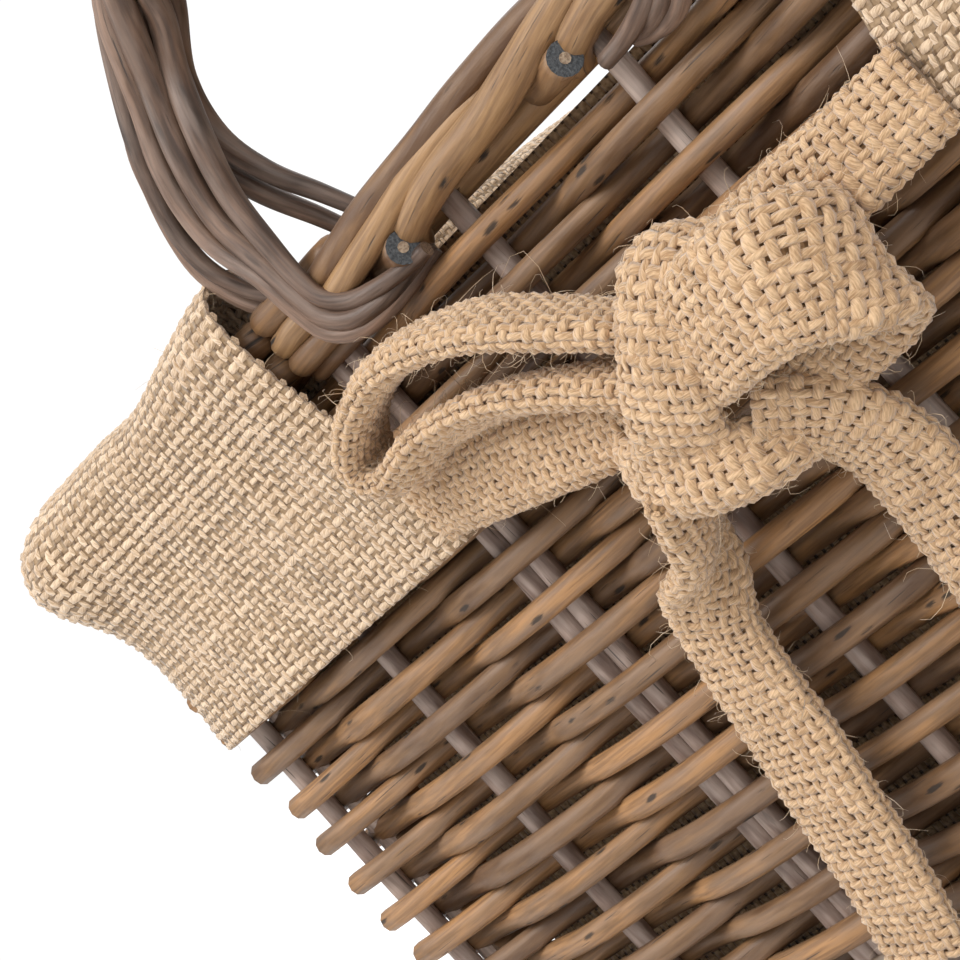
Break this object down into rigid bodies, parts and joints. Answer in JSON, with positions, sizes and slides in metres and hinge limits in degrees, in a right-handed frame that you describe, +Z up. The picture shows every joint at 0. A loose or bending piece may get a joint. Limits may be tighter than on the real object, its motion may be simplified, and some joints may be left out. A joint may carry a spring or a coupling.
{
  "type": "lined wicker gift basket",
  "caption": "Rectangular woven willow basket with two arched side handles and a lift-out hessian lining tied in bows over the rim.",
  "frame": {"origin": "centre of the underside, on the floor", "axes": "+X along the long walls, +Y from the front wall to the back wall, +Z up"},
  "size_m": [0.2872, 0.272, 0.2151],
  "materials": {
    "willow_weave": "satin antique-washed willow rods",
    "willow_stakes": "grey antique-washed willow stakes",
    "willow_border": "golden brown willow border rods",
    "willow_handle": "twisted grey-brown willow",
    "willow_wale": "thin greyish willow rods",
    "hessian": "plain-woven jute cloth, matt",
    "bow_hessian": "plain-woven jute cloth ribbon, matt"
  },
  "bodies": {
    "basket": {"back_border": "willow_border", "back_foot_wale": "willow_wale", "back_handle_core": "willow_handle", "back_handle_wrap": "willow_handle", "back_left_foot_wrap": "willow_handle", "back_right_foot_wrap": "willow_handle", "back_stakes": "willow_stakes", "back_wall_weave": "willow_weave", "base_sticks": "willow_stakes", "base_weave": "willow_weave", "front_border": "willow_border", "front_foot_wale": "willow_wale", "front_handle_core": "willow_handle", "front_handle_wrap": "willow_handle", "front_left_foot_wrap": "willow_handle", "front_right_foot_wrap": "willow_handle", "front_stakes": "willow_stakes", "front_wall_weave": "willow_weave", "left_border": "willow_border", "left_foot_wale": "willow_wale", "left_stakes": "willow_stakes", "left_wall_weave": "willow_weave", "right_border": "willow_border", "right_foot_wale": "willow_wale", "right_stakes": "willow_stakes", "right_wall_weave": "willow_weave"},
    "lining": {"back_bow_knot": "bow_hessian", "back_bow_left_loop": "bow_hessian", "back_bow_left_tail": "bow_hessian", "back_bow_left_tie": "bow_hessian", "back_bow_right_loop": "bow_hessian", "back_bow_right_tail": "bow_hessian", "back_bow_right_tie": "bow_hessian", "front_bow_knot": "bow_hessian", "front_bow_left_loop": "bow_hessian", "front_bow_left_tail": "bow_hessian", "front_bow_left_tie": "bow_hessian", "front_bow_right_loop": "bow_hessian", "front_bow_right_tail": "bow_hessian", "front_bow_right_tie": "bow_hessian", "left_back_rim_cover": "hessian", "left_back_skirt": "hessian", "left_end_rim_cover": "hessian", "left_end_skirt": "hessian", "left_front_rim_cover": "hessian", "left_front_skirt": "hessian", "lining_back": "hessian", "lining_floor": "hessian", "lining_front": "hessian", "lining_left": "hessian", "lining_right": "hessian", "right_back_rim_cover": "hessian", "right_back_skirt": "hessian", "right_end_rim_cover": "hessian", "right_end_skirt": "hessian", "right_front_rim_cover": "hessian", "right_front_skirt": "hessian"}
  },
  "joints": [
    {"name": "lining_lift", "type": "slide", "parent": "basket", "child": "lining", "axis": [0, 0, 1], "range_m": [0, 0.22]}
  ]
}
